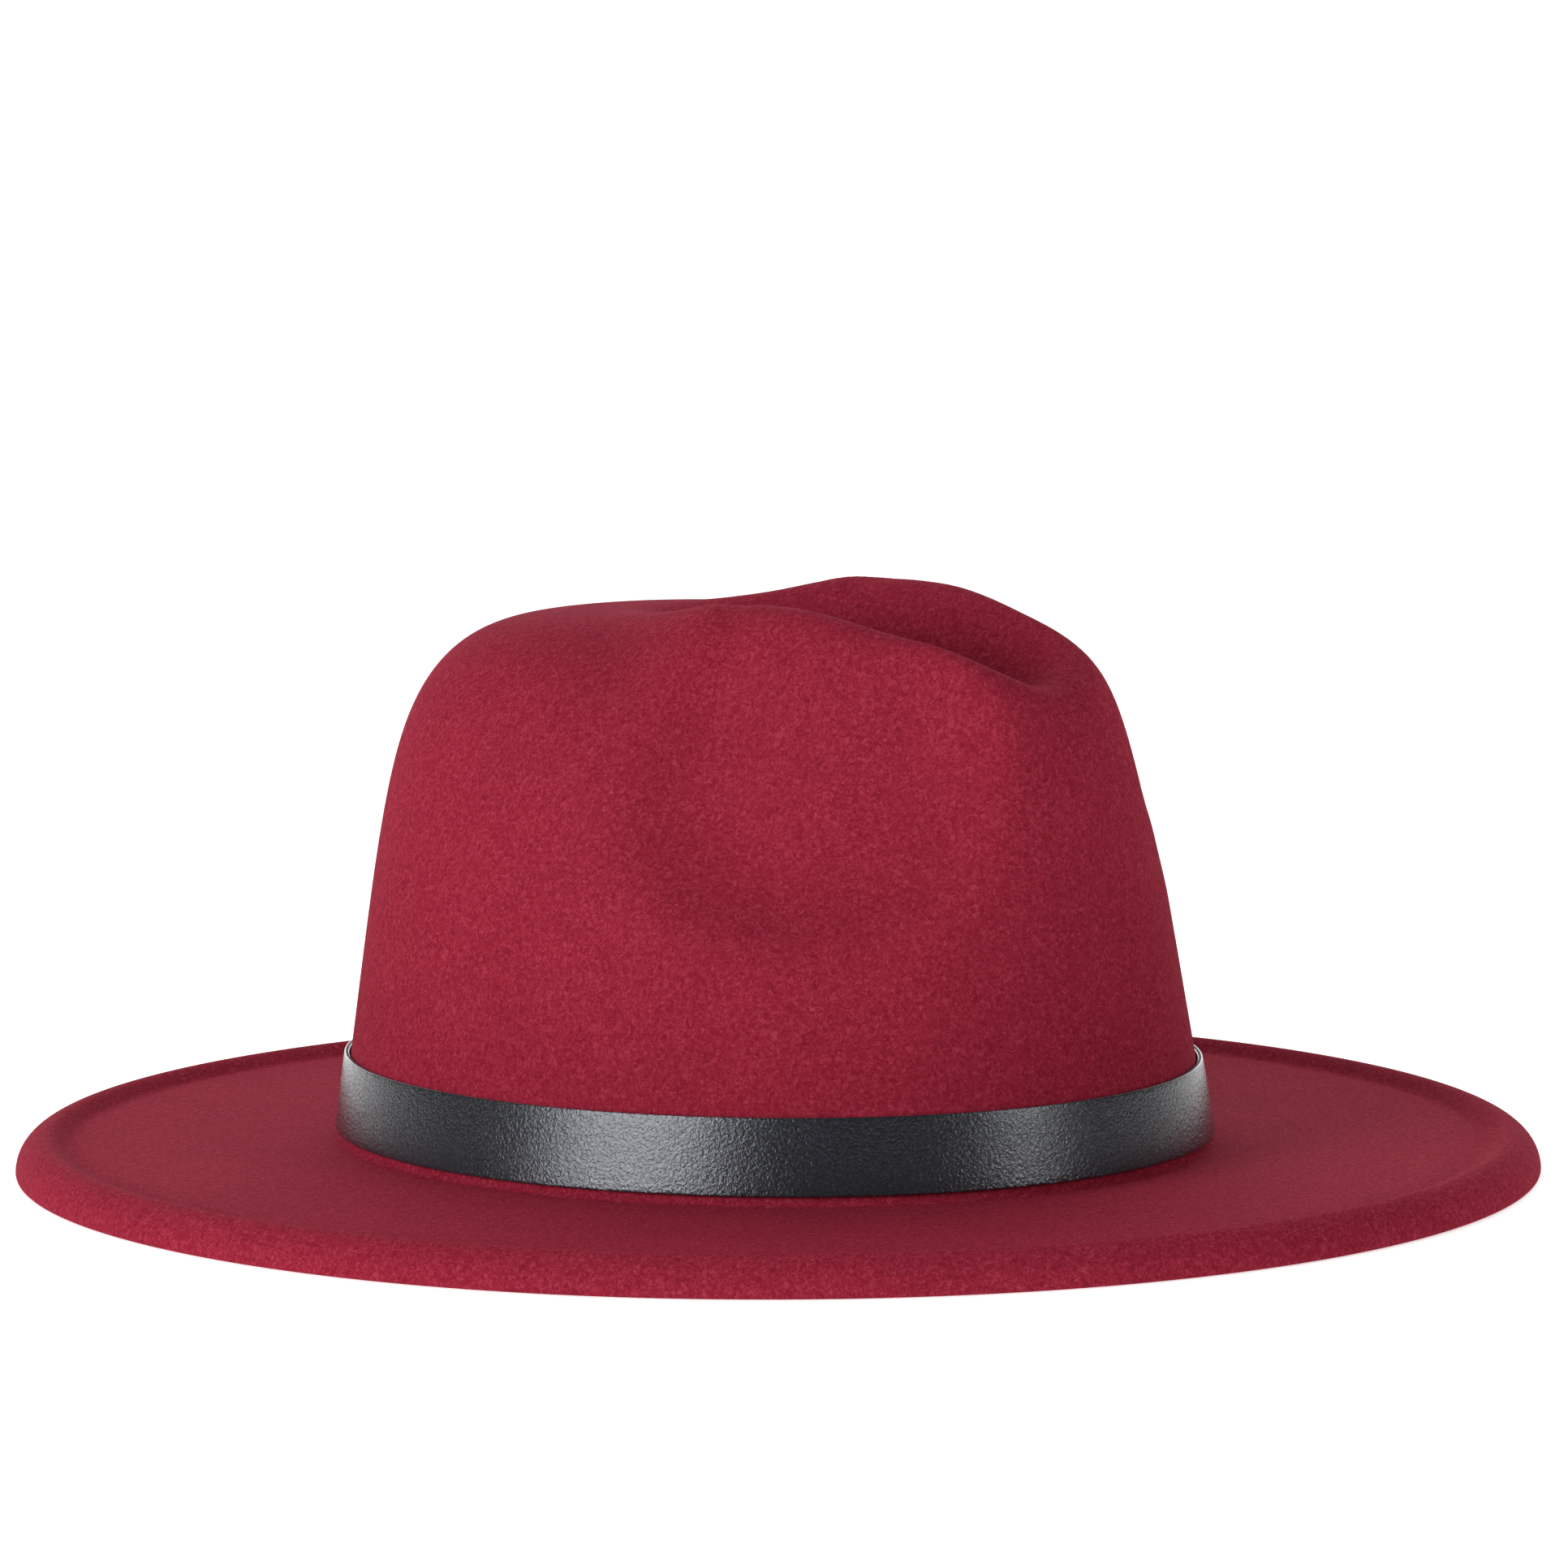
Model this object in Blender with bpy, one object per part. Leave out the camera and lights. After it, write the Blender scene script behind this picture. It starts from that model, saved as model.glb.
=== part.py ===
# A wide-brimmed felt fedora with a leather band.
# Metres, +Z up. The front of the hat looks along -Y, and the origin lies under the
# middle of the hat, on the surface that the brim's border rests on.

import math
from collections import namedtuple

import bmesh
import bpy
import numpy as np

# Felt body
HEAD_LENGTH = 0.2002        # outside of the crown's foot, front to back
HEAD_WIDTH = 0.1726         # outside of the crown's foot, side to side
CROWN_HEIGHT = 0.1153       # from the brim's upper face to the top of the block
BRIM_WIDTH = 0.0718         # from the crown's foot to the outermost border, the same all round
BRIM_HEIGHT = 0.0062        # brim's upper face above the surface that the hat rests on
FELT_THICKNESS = 0.0022
FOOT_RADIUS = 0.002         # where the crown turns into the brim
BORDER_WIDTH = 0.0125       # pressed line of the border to the outermost edge
BORDER_RISE = 0.0022        # border's roll above the brim

# Band
BAND_HEIGHT = 0.0163
BAND_THICKNESS = 0.0012
BAND_CLEARANCE = 0.0003     # between the band and the felt, and in the band's own lap
LAP_TURN = 100.0            # degrees from the front to the middle of the lap, over the wearer's left
LAP_STEPS = 4               # steps of the grid round the hat that the two ends share
RAMP_STEPS = 3              # steps in which the outer end climbs onto the inner one

# Grid of the felt: a square of quads at the crown's top, then rings out to the cut edge
CAP_QUADS = 16              # along each side of the square, so four times as many go round
CAP_REACH = 0.3             # share of the way from the top's middle to the foot that it covers
CROWN_RINGS = 20
FOOT_RINGS = 3
BRIM_RINGS = 2
FRONT_CROWDING = 0.22       # how much closer the grid is at the front than at the sides
BRIM_MARK = 2.0             # flat piece's reach at the brim's first ring; the crown ends at 1
SWEEP_STEPS = 240           # fineness of the measure along a wall

# Walls of the block before it is dented: lean from upright in degrees, and how square
# the shoulder between wall and top is (2 is an ellipse)
Wall = namedtuple("Wall", "lean shoulder")
FRONT_WALL = Wall(lean=8.0, shoulder=9.0)
BACK_WALL = Wall(lean=6.6, shoulder=7.3)
SIDE_WALL = Wall(lean=11.2, shoulder=3.3)
TOP_FALL = 0.025            # share of the crown's height that the top drops by at the back
TOP_PEAK = 0.186            # highest place, as a share of half the head's length

# The two pinches at the front: side is -1 for the wearer's right, angles are in degrees
# from the front, heights are shares of the crown's height, and the depth is a share of
# half the head's width. The slant turns a dent's foot towards the back. The bowl value says
# how flat the dent is inside its rim, and the edge values say how softly it ends on each of
# its four sides.
Pinch = namedtuple(
    "Pinch",
    "side turn to_front to_back slant height down up depth bowl edge_front edge_back edge_down edge_up",
)
PINCH_FADE = 0.333          # the pinches fade out this near the middle, of half the head's width
PINCHES = (
    Pinch(-1, 47.5, 28.5, 36.0, 12.0, 0.746, 0.290, 0.50, 0.155, 5.0, 0.90, 1.4, 1.1, 2.6),
    Pinch(1, 49.0, 27.0, 33.0, 12.0, 0.730, 0.290, 0.47, 0.145, 5.0, 1.20, 1.6, 1.4, 2.6),
)

# The crease along the top: ends as shares of half the head's length, towards the front.
# Each station has its place from the back end to the front end, half its width as a share
# of half the head's width, and its depth and the lift of the ridges on the wearer's right
# and left as shares of the crown's height.
CREASE_BACK = -0.327
CREASE_FRONT = 0.850
Station = namedtuple("Station", "place half_width depth lift_right lift_left")
CREASE = (
    Station(0.00, 0.040, 0.000, 0.000, 0.000),
    Station(0.05, 0.122, 0.009, 0.002, 0.002),
    Station(0.10, 0.174, 0.031, 0.008, 0.010),
    Station(0.20, 0.240, 0.099, 0.028, 0.039),
    Station(0.35, 0.300, 0.165, 0.064, 0.078),
    Station(0.50, 0.329, 0.175, 0.080, 0.083),
    Station(0.65, 0.333, 0.175, 0.062, 0.058),
    Station(0.80, 0.304, 0.145, 0.036, 0.016),
    Station(0.90, 0.252, 0.070, 0.020, 0.007),
    Station(0.96, 0.187, 0.022, 0.013, 0.009),
    Station(1.00, 0.040, 0.000, 0.000, 0.000),
)
RIDGE_PLACE = 0.95          # the two ridges, as a share of half the crease's width
SHOULDER_START = 0.72       # share of the block's height from which the crease works
SHOULDER_END = 0.94         # and from which it works in full

# Section of the border, from the brim outwards: distance in from the outermost edge as a
# share of the border's width, height over the brim as a share of the border's rise, and
# drop below it as a share of the brim's height over the surface it rests on.
BorderRow = namedtuple("BorderRow", "inward rise drop")
BORDER = (
    BorderRow(1.28, 0.00, 0.00),
    BorderRow(1.06, -0.16, 0.00),
    BorderRow(0.93, -0.10, 0.00),
    BorderRow(0.77, 0.50, 0.00),
    BorderRow(0.60, 1.00, 0.00),
    BorderRow(0.44, 0.92, 0.00),
    BorderRow(0.24, 0.35, 0.00),
    BorderRow(0.09, 0.00, 0.20),
    BorderRow(0.02, 0.00, 0.54),
    BorderRow(0.00, 0.00, 0.80),
    BorderRow(0.00, 0.00, 1.00),
)

# Materials
WINE_RED = (0.33, 0.012, 0.03)
FELT_ROUGHNESS = 0.9
BLACK = (0.02, 0.02, 0.022)
LEATHER_ROUGHNESS = 0.4

HALF_LENGTH = HEAD_LENGTH / 2
HALF_WIDTH = HEAD_WIDTH / 2
STEPS_ROUND = 4 * CAP_QUADS
TINY = 1e-9                 # keeps a division safe


def ease(share):
    share = np.clip(share, 0.0, 1.0)
    return share * share * (3 - 2 * share)


# A column of a table read as a smooth curve through its rows
def read_smoothly(rows, column, place):
    places = [row.place for row in rows]
    values = [getattr(row, column) for row in rows]
    slopes = np.gradient(values, places)
    right = int(np.clip(np.searchsorted(places, place), 1, len(rows) - 1))
    left = right - 1
    span = places[right] - places[left]
    share = (place - places[left]) / span
    bend = share * (1 - share)
    level = values[left] + (values[right] - values[left]) * ease(share)
    return level + span * bend * (slopes[left] * (1 - share) - slopes[right] * share)


# Turn about the upright axis, crowded towards the front: 0 is the front, and the wearer's
# left follows it
def crowded(turn):
    return turn - FRONT_CROWDING * math.sin(turn)


# Half plan sizes of the block and squareness of its shoulder in the direction of a turn
def wall_values(turn, height):
    ahead = ease(0.5 + 0.5 * math.cos(turn))
    beside = math.sin(turn) ** 2
    front = HALF_LENGTH - height * math.tan(math.radians(FRONT_WALL.lean))
    back = HALF_LENGTH - height * math.tan(math.radians(BACK_WALL.lean))
    half_width = HALF_WIDTH - height * math.tan(math.radians(SIDE_WALL.lean))
    half_length = front * ahead + back * (1 - ahead)
    square = FRONT_WALL.shoulder * ahead + BACK_WALL.shoulder * (1 - ahead)
    return half_length, half_width, square * (1 - beside) + SIDE_WALL.shoulder * beside


# Points up the block's wall and over its top, from the foot's radius to the middle
def block_section(turn):
    sweep = np.linspace(0.0, math.pi / 2, SWEEP_STEPS)
    square = wall_values(turn, 0.0)[2]
    size = (np.cos(sweep) ** square + np.sin(sweep) ** square) ** (1 / square)
    reach = np.cos(sweep) / size
    reach[-1] = 0.0
    height = CROWN_HEIGHT * np.sin(sweep) / size
    half_length, half_width, _ = wall_values(turn, height)
    across = half_width * reach * math.sin(turn)
    ahead = half_length * reach * math.cos(turn)
    keep = height >= FOOT_RADIUS
    first = int(np.argmax(keep))
    part = (FOOT_RADIUS - height[first - 1]) / (height[first] - height[first - 1])
    return tuple(
        np.concatenate(([values[first - 1] + part * (values[first] - values[first - 1])], values[first:]))
        for values in (across, ahead, height)
    )


# Place on the undented block: 0 is the middle of the top and 1 is the crown's foot
def block_point(turn, share):
    across, ahead, height = block_section(turn)
    steps = np.sqrt(np.diff(across) ** 2 + np.diff(ahead) ** 2 + np.diff(height) ** 2)
    lengths = np.concatenate(([0.0], np.cumsum(steps)))
    wanted = (1 - share) * lengths[-1]
    return tuple(float(np.interp(wanted, lengths, values)) for values in (across, ahead, height))


def pressed_in(across, ahead, height):
    distance = math.hypot(across, ahead)
    if distance == 0.0:
        return across, ahead
    depth = 0.0
    for pinch in PINCHES:
        turn = math.degrees(math.atan2(pinch.side * across / HALF_WIDTH, ahead / HALF_LENGTH))
        rise = height / CROWN_HEIGHT - pinch.height
        turned = turn - pinch.turn + pinch.slant * rise
        sideways = turned / (pinch.to_back if turned > 0 else pinch.to_front)
        upright = rise / (pinch.up if rise > 0 else pinch.down)
        away = sideways * sideways + upright * upright
        if away < 1:
            edge_across = pinch.edge_back if sideways > 0 else pinch.edge_front
            edge_along = pinch.edge_up if rise > 0 else pinch.edge_down
            share = sideways * sideways / max(away, TINY)
            edge = edge_across * share + edge_along * (1 - share)
            depth += pinch.depth * HALF_WIDTH * (1 - away ** (pinch.bowl / 2)) ** edge
    kept = 1 - depth / distance * float(ease(distance / (PINCH_FADE * HALF_WIDTH)))
    return across * kept, ahead * kept


def creased(across, ahead, height):
    block_share = height / CROWN_HEIGHT
    peak = TOP_PEAK * HALF_LENGTH
    behind = max(0.0, (peak - ahead) / (peak + HALF_LENGTH))
    top = float(ease((block_share - SHOULDER_START) / (1 - SHOULDER_START)))
    height -= top * TOP_FALL * CROWN_HEIGHT * behind * behind
    place = (ahead / HALF_LENGTH - CREASE_BACK) / (CREASE_FRONT - CREASE_BACK)
    if place <= 0 or place >= 1:
        return height
    half_width = read_smoothly(CREASE, "half_width", place) * HALF_WIDTH
    depth = read_smoothly(CREASE, "depth", place) * CROWN_HEIGHT
    lift_right = read_smoothly(CREASE, "lift_right", place)
    lift_left = read_smoothly(CREASE, "lift_left", place)
    sideways = abs(across) / half_width
    valley = 0.5 + 0.5 * math.cos(math.pi * min(sideways, 1.0))
    ridge = max(0.0, 1 - (sideways - RIDGE_PLACE) ** 2) ** 2
    towards_left = float(ease(0.5 + 0.5 * across / half_width))
    lift = (lift_right + (lift_left - lift_right) * towards_left) * CROWN_HEIGHT
    working = float(ease((block_share - SHOULDER_START) / (SHOULDER_END - SHOULDER_START)))
    return height + working * (lift * ridge - depth * valley)


def crown_point(turn, share):
    across, ahead, height = block_point(turn, share)
    across, ahead = pressed_in(across, ahead, height)
    height = creased(across, ahead, height)
    return across, -ahead, BRIM_HEIGHT + height


# Plan direction straight away from the crown's foot
def outwards(turn):
    across = math.sin(turn) / HALF_WIDTH
    ahead = math.cos(turn) / HALF_LENGTH
    size = math.hypot(across, ahead)
    return across / size, -ahead / size


# A point on the outside of the crown's straight wall, moved away from it by a distance
def wall_point(turn, height, distance=0.0):
    half_length, half_width, _ = wall_values(turn, height)
    out_x, out_y = outwards(turn)
    x = half_width * math.sin(turn) + distance * out_x
    y = -half_length * math.cos(turn) + distance * out_y
    return x, y, BRIM_HEIGHT + height


# Rows of the brim's section as distance out from the foot of the wall and height over the
# brim's upper face: the foot's radius, the flat brim and then the border
def brim_rows():
    rows = []
    for ring in range(1, FOOT_RINGS + 1):
        angle = math.pi / 2 * ring / FOOT_RINGS
        rows.append((FOOT_RADIUS * (1 - math.cos(angle)), FOOT_RADIUS * (1 - math.sin(angle))))
    flat_end = BRIM_WIDTH - BORDER[0].inward * BORDER_WIDTH
    for ring in range(1, BRIM_RINGS + 1):
        share = ring / (BRIM_RINGS + 1)
        rows.append((FOOT_RADIUS + share * (flat_end - FOOT_RADIUS), 0.0))
    for row in BORDER:
        out = BRIM_WIDTH - row.inward * BORDER_WIDTH
        rows.append((out, row.rise * BORDER_RISE - row.drop * BRIM_HEIGHT))
    return rows


def brim_point(turn, out, height):
    x, y, _ = wall_point(turn, FOOT_RADIUS, out)
    return x, y, BRIM_HEIGHT + height


# The felt as a flat round piece: a square whose outline is rounded to a circle, then rings
def make_flat_felt(ring_reaches):
    sheet = bmesh.new()
    bmesh.ops.create_grid(sheet, x_segments=CAP_QUADS, y_segments=CAP_QUADS, size=1.0)
    for vertex in sheet.verts:
        x, y, _ = vertex.co
        reach = max(abs(x), abs(y))
        if reach < 1 / CAP_QUADS:
            vertex.co = (0.0, 0.0, 0.0)
            continue
        quarter = math.pi / 4
        if abs(x) > abs(y):
            angle = quarter * y / x + (math.pi if x < 0 else 0.0)
        else:
            angle = math.pi / 2 - quarter * x / y + (math.pi if y < 0 else 0.0)
        vertex.co = (reach * CAP_REACH * math.cos(angle), reach * CAP_REACH * math.sin(angle), 0.0)
    for reach in ring_reaches:
        rim = [edge for edge in sheet.edges if edge.is_boundary]
        bmesh.ops.extrude_edge_only(sheet, edges=rim)
        for vertex in {vertex for edge in sheet.edges if edge.is_boundary for vertex in edge.verts}:
            vertex.co = vertex.co.normalized() * reach
    return sheet


def make_object(name, mesh_data, thickness, offset, material):
    mesh = bpy.data.meshes.new(name)
    mesh_data.to_mesh(mesh)
    mesh_data.free()
    mesh.materials.append(material)
    mesh.shade_smooth()
    piece = bpy.data.objects.new(name, mesh)
    bpy.context.collection.objects.link(piece)
    wall = piece.modifiers.new("wall", "SOLIDIFY")
    wall.thickness = thickness
    wall.offset = offset
    wall.use_even_offset = True
    return piece


def make_felt_body(material):
    crown_shares = [CAP_REACH + (1 - CAP_REACH) * ring / CROWN_RINGS for ring in range(1, CROWN_RINGS + 1)]
    rows = brim_rows()
    sheet = make_flat_felt(crown_shares + [BRIM_MARK + number for number in range(len(rows))])
    for vertex in sheet.verts:
        reach = vertex.co.length
        turn = crowded(math.atan2(vertex.co.x, -vertex.co.y))
        number = round(reach - BRIM_MARK)
        vertex.co = crown_point(turn, reach) if number < 0 else brim_point(turn, *rows[number])
    return make_object("felt_body", sheet, FELT_THICKNESS, -1.0, material)


# One strip whose outer end lies over the inner one. Its steps round the hat are the same as
# the felt's, so that the two walls stay parallel.
def make_band(material):
    step = 2 * math.pi / STEPS_ROUND
    first = round(math.radians(LAP_TURN) / step) - LAP_STEPS // 2
    count = STEPS_ROUND + LAP_STEPS
    strip = bmesh.new()
    bmesh.ops.create_grid(strip, x_segments=count, y_segments=1, size=1.0)
    for vertex in strip.verts:
        number = round((vertex.co.x + 1) / 2 * count)
        share = (vertex.co.y + 1) / 2
        climb = float(ease((number - STEPS_ROUND + RAMP_STEPS) / RAMP_STEPS))
        distance = BAND_CLEARANCE + climb * (BAND_THICKNESS + BAND_CLEARANCE)
        height = FOOT_RADIUS + BAND_CLEARANCE + share * BAND_HEIGHT
        vertex.co = wall_point(crowded((first + number) * step), height, distance)
    bmesh.ops.recalc_face_normals(strip, faces=strip.faces)
    return make_object("band", strip, BAND_THICKNESS, 1.0, material)


def make_material(name, colour, roughness):
    material = bpy.data.materials.new(name)
    material.use_nodes = True
    shader = material.node_tree.nodes["Principled BSDF"]
    shader.inputs["Base Color"].default_value = (*colour, 1.0)
    shader.inputs["Roughness"].default_value = roughness
    shader.inputs["Metallic"].default_value = 0.0
    return material


def build():
    for old in list(bpy.data.objects):
        bpy.data.objects.remove(old)
    make_felt_body(make_material("wine_red_felt", WINE_RED, FELT_ROUGHNESS))
    make_band(make_material("black_leather", BLACK, LEATHER_ROUGHNESS))


build()
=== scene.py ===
import math

import bpy
from mathutils import Matrix, Vector


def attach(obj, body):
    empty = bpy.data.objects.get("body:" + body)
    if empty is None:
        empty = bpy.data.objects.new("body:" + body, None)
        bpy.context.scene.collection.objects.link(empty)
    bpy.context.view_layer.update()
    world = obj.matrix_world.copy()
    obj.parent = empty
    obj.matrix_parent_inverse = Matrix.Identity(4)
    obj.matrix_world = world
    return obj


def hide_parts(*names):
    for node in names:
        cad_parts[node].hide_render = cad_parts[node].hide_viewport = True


# Wine red felt fedora with a black leather band, on a pale studio floor.
# The front of the hat looks along -Y and its crown points up.
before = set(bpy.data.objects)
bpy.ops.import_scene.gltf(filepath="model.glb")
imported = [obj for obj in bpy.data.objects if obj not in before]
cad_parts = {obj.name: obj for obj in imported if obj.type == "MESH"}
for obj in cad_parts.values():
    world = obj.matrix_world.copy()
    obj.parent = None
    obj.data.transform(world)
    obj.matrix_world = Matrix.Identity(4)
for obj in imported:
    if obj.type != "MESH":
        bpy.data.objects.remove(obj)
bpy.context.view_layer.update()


# hex colour as painters write it, turned to the linear values that Blender mixes
def hexColour(text):
    shares = [int(text[place:place + 2], 16) / 255 for place in (0, 2, 4)]
    linear = [share / 12.92 if share <= 0.04045 else ((share + 0.055) / 1.055) ** 2.4 for share in shares]
    return (*linear, 1.0)


# one node with its settings, its fixed values and what is plugged into it
def addNode(tree, kind, settings=None, values=None, links=None):
    node = tree.nodes.new(kind)
    for name, value in (settings or {}).items():
        setattr(node, name, value)
    for name, value in (values or {}).items():
        node.inputs[name].default_value = value
    for name, source in (links or {}).items():
        tree.links.new(source, node.inputs[name])
    return node


def newMaterial(name):
    material = bpy.data.materials.new(name)
    material.use_nodes = True
    tree = material.node_tree
    return material, tree, tree.nodes["Principled BSDF"]


def onlySelect(piece):
    bpy.ops.object.select_all(action="DESELECT")
    piece.select_set(True)
    bpy.context.view_layer.objects.active = piece


# noise values hardly ever leave this range
noiseReach = {"low": 0.3, "high": 0.7}
joins = {
    "merge": 0.00001,           # corners closer than this are one
    "anyAngle": math.pi,        # pairs triangles whatever their bend and shape
    "evenFlow": 2.0,            # how much the pairing keeps to rows of four-sided faces
}


# a copy of a frame node, its loose triangles merged and paired back into four-sided faces
def copyOfNode(nodeName, pieceName):
    piece = bpy.data.objects.new(pieceName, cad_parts[nodeName].data.copy())
    piece.data.name = pieceName
    bpy.context.scene.collection.objects.link(piece)
    piece.data.materials.clear()
    onlySelect(piece)
    bpy.ops.object.mode_set(mode="EDIT")
    bpy.ops.mesh.select_all(action="SELECT")
    bpy.ops.mesh.remove_doubles(threshold=joins["merge"])
    bpy.ops.mesh.tris_convert_to_quads(
        face_threshold=joins["anyAngle"], shape_threshold=joins["anyAngle"],
        topology_influence=joins["evenFlow"],
    )
    bpy.ops.object.mode_set(mode="OBJECT")
    if piece.data.has_custom_normals:
        bpy.ops.mesh.customdata_custom_splitnormals_clear()
    return piece


def applyModifier(piece, kind, settings):
    onlySelect(piece)
    modifier = piece.modifiers.new(kind.lower(), kind)
    for name, value in settings.items():
        setattr(modifier, name, value)
    bpy.ops.object.modifier_apply(modifier=modifier.name)


feltLook = {
    "dye": "8b2133",            # wine red
    "darkFibre": "6d1626",
    "lightFibre": "ab4054",
    "bloom": "d85a72",          # raised nap seen at a glancing angle
    "tuft": 0.0009,             # tufts of nap; single wool fibres are 0.02 mm and would not show
    "tuftHeight": 0.00022,
    "tuftStrength": 0.7,
    "darkestTuft": 0.28,        # values of the tufts' noise that show all dark fibre,
    "middleTuft": 0.5,          # the dye's own colour
    "lightestTuft": 0.78,       # and all light fibre
    "cloud": 0.022,             # soft patches where the dye took unevenly
    "cloudStrength": 0.035,
    "roughness": 0.92,
    "refraction": 1.45,
    "gloss": 0.03,
    "sheen": 0.12,
    "sheenRoughness": 0.3,
    "subdivisions": 2,
    "steamedFrom": 0.085,       # heights between which the steaming of the ridges sets in
    "steamedFully": 0.115,
    "steaming": 7,              # rounds of smoothing
    "steamingShare": 0.5,       # how far a round moves a point towards its neighbours
}


# Dyed wool felt, steamed and blocked: dull all over, with a fine short nap that speckles
# the red and catches a little light along edges and ridges
def feltMaterial(look):
    material, tree, shader = newMaterial("wineRedWoolFelt")
    place = addNode(tree, "ShaderNodeTexCoord").outputs["Object"]
    tufts = addNode(
        tree, "ShaderNodeTexNoise",
        values={"Scale": 1 / look["tuft"], "Detail": 4.0, "Roughness": 0.62, "Distortion": 1.2},
        links={"Vector": place},
    )
    clouds = addNode(
        tree, "ShaderNodeTexNoise",
        values={"Scale": 1 / look["cloud"], "Detail": 3.0, "Roughness": 0.55},
        links={"Vector": place},
    )
    speckle = addNode(tree, "ShaderNodeValToRGB", links={"Fac": tufts.outputs["Fac"]})
    ramp = speckle.color_ramp
    ramp.elements[0].position = look["darkestTuft"]
    ramp.elements[0].color = hexColour(look["darkFibre"])
    ramp.elements[1].position = look["lightestTuft"]
    ramp.elements[1].color = hexColour(look["lightFibre"])
    ramp.elements.new(look["middleTuft"]).color = hexColour(look["dye"])
    shade = addNode(
        tree, "ShaderNodeMapRange",
        values={
            "From Min": noiseReach["low"], "From Max": noiseReach["high"],
            "To Min": 1 - look["cloudStrength"], "To Max": 1 + look["cloudStrength"],
        },
        links={"Value": clouds.outputs["Fac"]},
    )
    dyed = addNode(
        tree, "ShaderNodeVectorMath", settings={"operation": "SCALE"},
        links={"Vector": speckle.outputs["Color"], "Scale": shade.outputs["Result"]},
    )
    nap = addNode(
        tree, "ShaderNodeBump", values={"Strength": look["tuftStrength"], "Distance": look["tuftHeight"]},
        links={"Height": tufts.outputs["Fac"]},
    )
    tree.links.new(dyed.outputs["Vector"], shader.inputs["Base Color"])
    tree.links.new(nap.outputs["Normal"], shader.inputs["Normal"])
    shader.inputs["Roughness"].default_value = look["roughness"]
    shader.inputs["IOR"].default_value = look["refraction"]
    shader.inputs["Specular IOR Level"].default_value = look["gloss"]
    shader.inputs["Sheen Weight"].default_value = look["sheen"]
    shader.inputs["Sheen Roughness"].default_value = look["sheenRoughness"]
    shader.inputs["Sheen Tint"].default_value = hexColour(look["bloom"])
    return material


# Crown and brim in one: finer than the frame's facets, with the ridges along the crease
# softened as steam leaves them
def makeFelt():
    felt = copyOfNode("felt_body", "feltHat")
    fineness = feltLook["subdivisions"]
    applyModifier(felt, "SUBSURF", {"levels": fineness, "render_levels": fineness})
    ridges = felt.vertex_groups.new(name="ridges")
    rise = feltLook["steamedFully"] - feltLook["steamedFrom"]
    for vertex in felt.data.vertices:
        climbed = (vertex.co.z - feltLook["steamedFrom"]) / rise
        ridges.add([vertex.index], min(max(climbed, 0.0), 1.0), "REPLACE")
    applyModifier(felt, "SMOOTH", {
        "factor": feltLook["steamingShare"], "iterations": feltLook["steaming"],
        "vertex_group": ridges.name,
    })
    felt.vertex_groups.clear()
    felt.data.materials.append(feltMaterial(feltLook))
    onlySelect(felt)
    bpy.ops.object.shade_smooth()
    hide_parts("felt_body")
    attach(felt, "root")
    print("felt made", len(felt.data.polygons))


bandLook = {
    "coating": "17171b",
    "worn": "23262e",           # coating on the tops of the grain
    "paleEdgeAndHighlight": "6f666c",        # pale fibre where the strip was cut, also a painted highlight line along the edges
    "cutEdgeDark": "2b292c",
    "grain": 0.0007,            # spacing of the grain's pebbles
    "grainHeight": 0.00016,
    "grainStrength": 0.8,
    "coatingUpTo": 0.4,         # values of the grain's noise that show bare coating
    "wornFrom": 0.7,            # and all worn coating
    "handling": 0.004,          # patches where handling changed the shine
    "roughness": 0.2,
    "roughnessSpread": 0.02,
    "refraction": 1.5,
    "coat": 0.35,
    "coatRoughness": 0.22,
    "shine": "e8edf8",          # what it mirrors looks a little cool
    "fibre": 0.0012,            # pressed fibre of the cut edges
    "fibreHeight": 0.0001,
    "fibreStrength": 0.5,
    "darkestFibre": 0.38,
    "palestFibre": 0.6,
    "fibreRoughness": 0.8,
    "fibreRefraction": 1.45,
    "cutFacing": 0.8,           # a face that looks up or down more than this is a cut edge and gets the pale colour with its painted highlight
    "edgeRound": 0.0002,
    "edgeSteps": 2,
    "edgeAngle": 50.0,          # an edge that bends more than this many degrees is rounded
    "subdivisions": 2,
}


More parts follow.
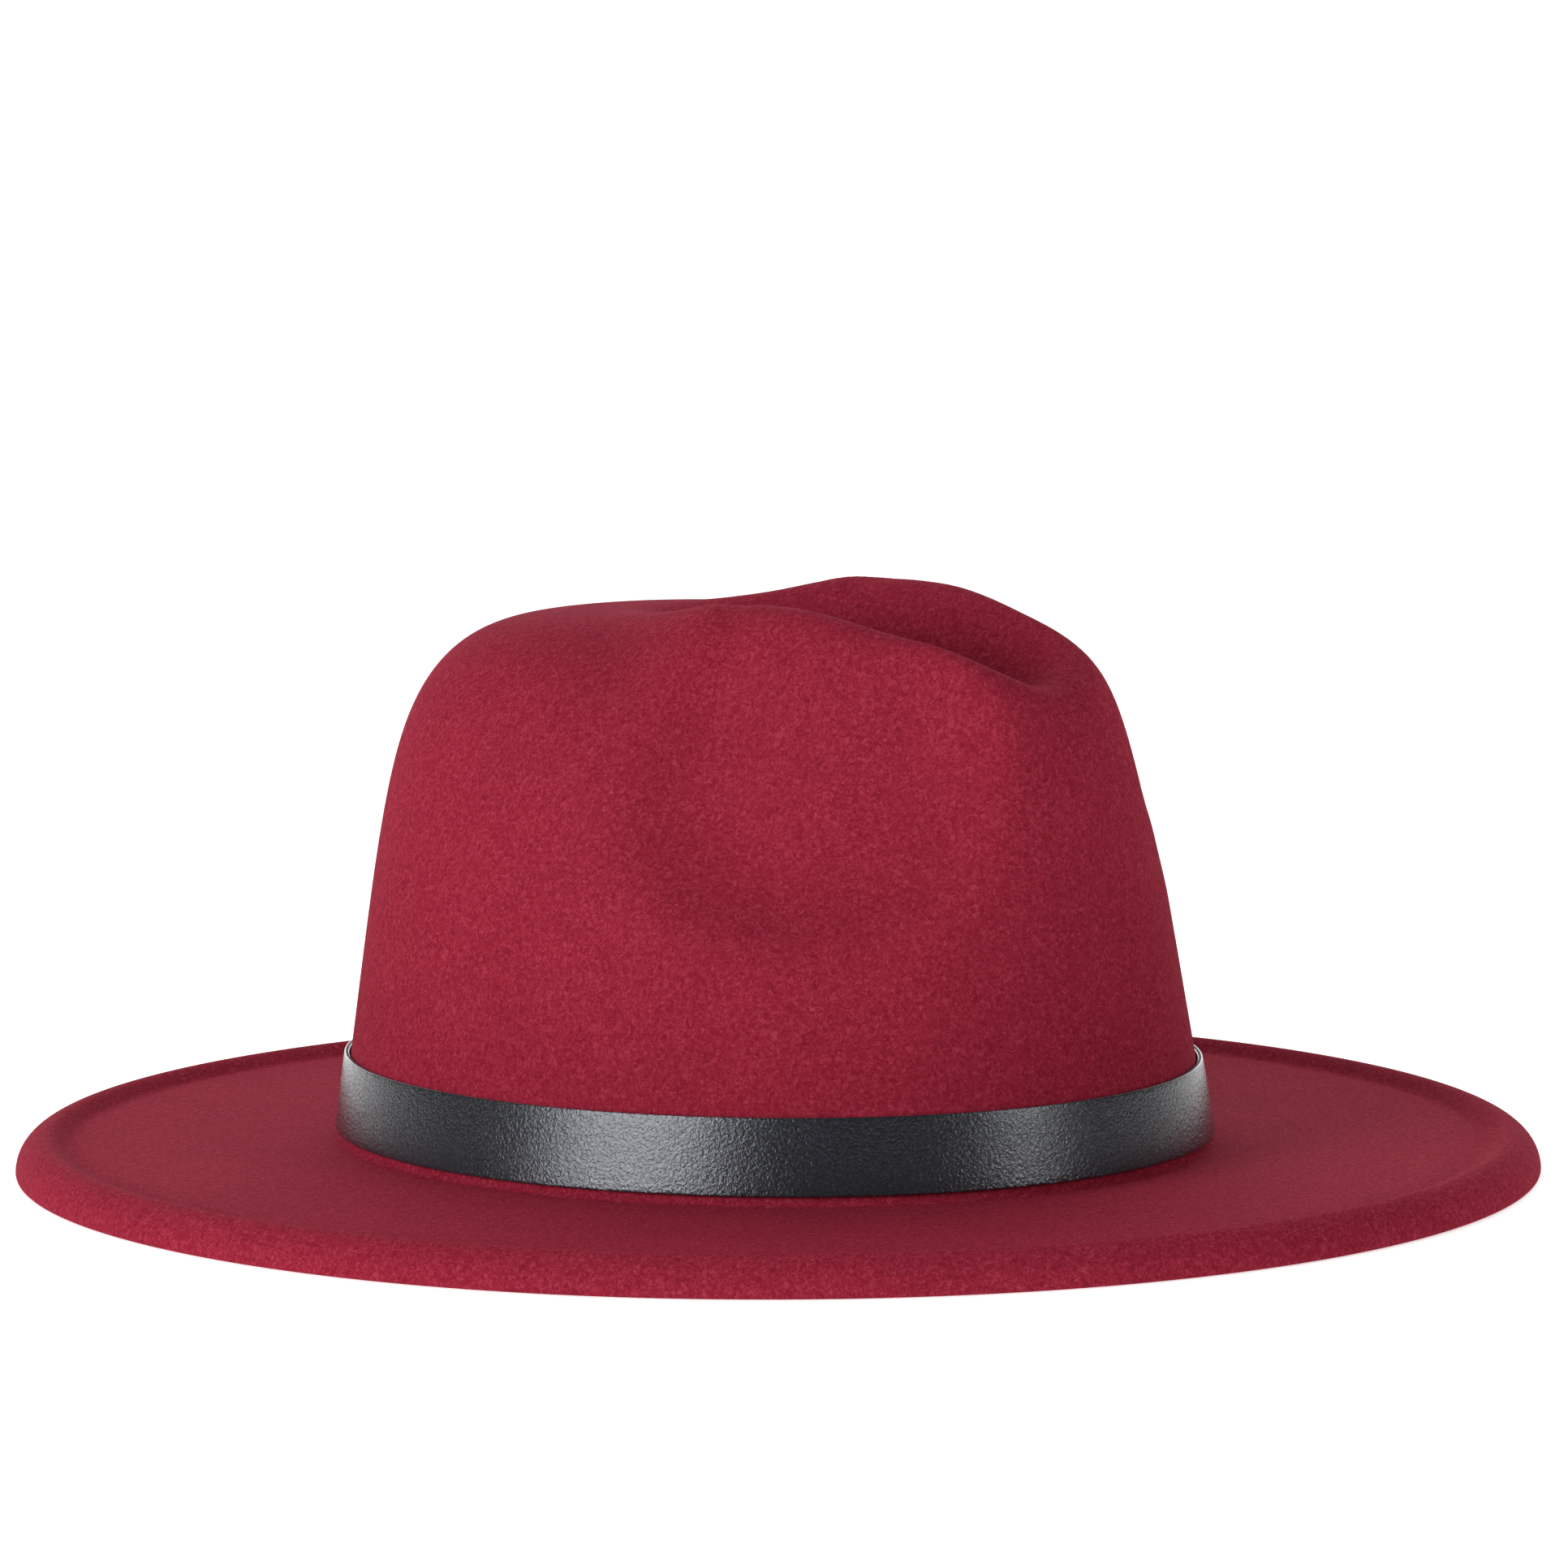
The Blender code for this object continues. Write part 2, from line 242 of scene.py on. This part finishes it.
# Black coated leather: smooth with a fine pebble grain that breaks up its satin shine
def leatherMaterial(look):
    material, tree, shader = newMaterial("blackCoatedLeather")
    place = addNode(tree, "ShaderNodeTexCoord").outputs["Object"]
    pebbles = addNode(
        tree, "ShaderNodeTexNoise",
        values={"Scale": 1 / look["grain"], "Detail": 2.0, "Roughness": 0.5, "Distortion": 0.6},
        links={"Vector": place},
    )
    handled = addNode(
        tree, "ShaderNodeTexNoise",
        values={"Scale": 1 / look["handling"], "Detail": 4.0, "Roughness": 0.6},
        links={"Vector": place},
    )
    gloss = addNode(
        tree, "ShaderNodeMapRange",
        values={
            "From Min": noiseReach["low"], "From Max": noiseReach["high"],
            "To Min": look["roughness"] - look["roughnessSpread"],
            "To Max": look["roughness"] + look["roughnessSpread"],
        },
        links={"Value": handled.outputs["Fac"]},
    )
    tint = addNode(tree, "ShaderNodeValToRGB", links={"Fac": pebbles.outputs["Fac"]})
    tint.color_ramp.elements[0].position = look["coatingUpTo"]
    tint.color_ramp.elements[0].color = hexColour(look["coating"])
    tint.color_ramp.elements[1].position = look["wornFrom"]
    tint.color_ramp.elements[1].color = hexColour(look["worn"])
    grain = addNode(
        tree, "ShaderNodeBump", values={"Strength": look["grainStrength"], "Distance": look["grainHeight"]},
        links={"Height": pebbles.outputs["Fac"]},
    )
    tree.links.new(tint.outputs["Color"], shader.inputs["Base Color"])
    tree.links.new(gloss.outputs["Result"], shader.inputs["Roughness"])
    tree.links.new(grain.outputs["Normal"], shader.inputs["Normal"])
    tree.links.new(grain.outputs["Normal"], shader.inputs["Coat Normal"])
    shader.inputs["IOR"].default_value = look["refraction"]
    shader.inputs["Specular Tint"].default_value = hexColour(look["shine"])
    shader.inputs["Coat Weight"].default_value = look["coat"]
    shader.inputs["Coat Roughness"].default_value = look["coatRoughness"]
    return material


# Raw edge of the strip: the coating stops and pale pressed fibre shows; the pale colour also paints the
# highlight line along the band's edges
def cutEdgeMaterial(look):
    material, tree, shader = newMaterial("cutLeatherEdgeAndPaintedHighlight")
    place = addNode(tree, "ShaderNodeTexCoord").outputs["Object"]
    fibres = addNode(
        tree, "ShaderNodeTexNoise",
        values={"Scale": 1 / look["fibre"], "Detail": 3.0, "Roughness": 0.6},
        links={"Vector": place},
    )
    tint = addNode(tree, "ShaderNodeValToRGB", links={"Fac": fibres.outputs["Fac"]})
    tint.color_ramp.elements[0].position = look["darkestFibre"]
    tint.color_ramp.elements[0].color = hexColour(look["cutEdgeDark"])
    tint.color_ramp.elements[1].position = look["palestFibre"]
    tint.color_ramp.elements[1].color = hexColour(look["paleEdgeAndHighlight"])
    fuzz = addNode(
        tree, "ShaderNodeBump", values={"Strength": look["fibreStrength"], "Distance": look["fibreHeight"]},
        links={"Height": fibres.outputs["Fac"]},
    )
    tree.links.new(tint.outputs["Color"], shader.inputs["Base Color"])
    tree.links.new(fuzz.outputs["Normal"], shader.inputs["Normal"])
    shader.inputs["Roughness"].default_value = look["fibreRoughness"]
    shader.inputs["IOR"].default_value = look["fibreRefraction"]
    return material


# One strip round the crown's foot, its two long edges cut and its corners barely rounded
def makeBand():
    band = copyOfNode("band", "leatherBand")
    band.data.materials.append(leatherMaterial(bandLook))
    band.data.materials.append(cutEdgeMaterial(bandLook))
    # the cut edges get the pale fibre colour, partly the raw edge and partly a painted highlight
    for face in band.data.polygons:
        face.material_index = 1 if abs(face.normal.z) > bandLook["cutFacing"] else 0
    applyModifier(band, "BEVEL", {
        "width": bandLook["edgeRound"], "segments": bandLook["edgeSteps"], "limit_method": "ANGLE",
        "angle_limit": math.radians(bandLook["edgeAngle"]), "material": 0,
    })
    fineness = bandLook["subdivisions"]
    applyModifier(band, "SUBSURF", {"levels": fineness, "render_levels": fineness})
    onlySelect(band)
    bpy.ops.object.shade_smooth()
    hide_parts("band")
    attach(band, "root")
    print("band made", len(band.data.polygons))


studio = {
    "floor": "f7f7f7",
    "floorSize": 24.0,
    "floorGrain": 0.003,
    "floorGrainHeight": 0.0002,
    "floorGrainStrength": 0.05,
    "floorRoughness": 0.9,
    "floorGloss": 0.1,
    "floorGlow": 0.55,          # the floor is opal acrylic, lit a little from below
    "frontLight": 0.17,         # the room around and behind the camera
    "backLight": 2.2,           # the white wall behind the hat
    "backRise": 32.0,           # height of its brightest part, in degrees
    "backFrom": 0.58,           # cosines of the angle to that part where the wall begins
    "backFully": 0.95,          # and where it is as bright as it gets
    # turn in degrees from the camera, height in degrees, width and height in metres, watts
    "key": {"turn": -49.0, "rise": 15.0, "width": 0.85, "height": 0.55, "power": 12.3},
    "fill": {"turn": 54.0, "rise": 13.0, "width": 0.4, "height": 0.45, "power": 3.2},
    "lampDistance": 1.3,
}
view = {
    "turn": -52.0,              # degrees round the hat from its front, towards the wearer's right
    "height": 7.88,             # degrees above the floor
    "distance": 2.0,
    "aim": 0.0662,              # height of the point looked at
    "roll": -0.975,
    "pixelsPerMetre": 5658.7,   # at the aim point, in the photograph's own pixels
    "centre": (945.93, 1064.75),    # where the aim point lies in the photograph
    "image": 1932,              # the photograph's width and height in pixels
    "sensor": 36.0,             # millimetres across
    "sight": 100.0,             # farthest distance that is drawn
}


# direction from the hat, from degrees round it and degrees over the floor
def wayTo(turn, height):
    turn, height = math.radians(turn), math.radians(height)
    return Vector((math.sin(turn) * math.cos(height), -math.cos(turn) * math.cos(height), math.sin(height)))


def makeCamera():
    away = wayTo(view["turn"], view["height"])
    bpy.ops.object.camera_add()
    camera = bpy.context.object
    look = (-away).to_track_quat("-Z", "Y").to_matrix().to_4x4()
    aim = Vector((0.0, 0.0, view["aim"]))
    place = Matrix.Translation(aim + away * view["distance"])
    camera.matrix_world = place @ look @ Matrix.Rotation(math.radians(view["roll"]), 4, "Z")
    camera.data.sensor_width = view["sensor"]
    camera.data.lens = view["pixelsPerMetre"] * view["distance"] / view["image"] * view["sensor"]
    camera.data.shift_x = 0.5 - view["centre"][0] / view["image"]
    camera.data.shift_y = view["centre"][1] / view["image"] - 0.5
    camera.data.clip_end = view["sight"]
    bpy.context.scene.camera = camera


def makeSoftbox(name):
    lamp = studio[name]
    away = wayTo(view["turn"] + lamp["turn"], lamp["rise"])
    aim = Vector((0.0, 0.0, view["aim"]))
    bpy.ops.object.light_add(type="AREA", location=aim + away * studio["lampDistance"])
    softbox = bpy.context.object
    softbox.name = name + "Softbox"
    softbox.rotation_euler = (-away).to_track_quat("-Z", "Y").to_euler()
    softbox.data.shape = "RECTANGLE"
    softbox.data.size = lamp["width"]
    softbox.data.size_y = lamp["height"]
    softbox.data.energy = lamp["power"]


# Room light: dim where the camera stands, bright from the white wall behind the hat
def makeRoom():
    world = bpy.data.worlds.new("room")
    world.use_nodes = True
    tree = world.node_tree
    toWall = -wayTo(view["turn"], -studio["backRise"])
    way = addNode(tree, "ShaderNodeTexCoord").outputs["Generated"]
    facing = addNode(
        tree, "ShaderNodeVectorMath", settings={"operation": "DOT_PRODUCT"}, links={0: way},
    )
    facing.inputs[1].default_value = toWall
    strength = addNode(
        tree, "ShaderNodeMapRange", settings={"interpolation_type": "SMOOTHSTEP"},
        values={
            "From Min": studio["backFrom"], "From Max": studio["backFully"],
            "To Min": studio["frontLight"], "To Max": studio["backLight"],
        },
        links={"Value": facing.outputs["Value"]},
    )
    background = tree.nodes["Background"]
    background.inputs["Color"].default_value = (1.0, 1.0, 1.0, 1.0)
    tree.links.new(strength.outputs["Result"], background.inputs["Strength"])
    bpy.context.scene.world = world


# Opal acrylic floor with a matt face: white, even, lit a little from below, so that it
# shows hardly any shadow
def floorMaterial():
    material, tree, shader = newMaterial("opalAcrylicFloor")
    place = addNode(tree, "ShaderNodeTexCoord").outputs["Object"]
    texture = addNode(
        tree, "ShaderNodeTexNoise", values={"Scale": 1 / studio["floorGrain"], "Detail": 2.0},
        links={"Vector": place},
    )
    stipple = addNode(
        tree, "ShaderNodeBump",
        values={"Strength": studio["floorGrainStrength"], "Distance": studio["floorGrainHeight"]},
        links={"Height": texture.outputs["Fac"]},
    )
    tree.links.new(stipple.outputs["Normal"], shader.inputs["Normal"])
    shader.inputs["Base Color"].default_value = hexColour(studio["floor"])
    shader.inputs["Roughness"].default_value = studio["floorRoughness"]
    shader.inputs["Specular IOR Level"].default_value = studio["floorGloss"]
    shader.inputs["Emission Color"].default_value = (1.0, 1.0, 1.0, 1.0)
    shader.inputs["Emission Strength"].default_value = studio["floorGlow"]
    return material


def makeStudio():
    bpy.ops.mesh.primitive_plane_add(size=studio["floorSize"], location=(0.0, 0.0, 0.0))
    floor = bpy.context.object
    floor.name = "floor"
    floor.data.materials.append(floorMaterial())
    makeRoom()
    for name in ("key", "fill"):
        makeSoftbox(name)
    bpy.context.scene.view_settings.view_transform = "Standard"


makeCamera()
makeFelt()
makeBand()
makeStudio()
print("studio ready")
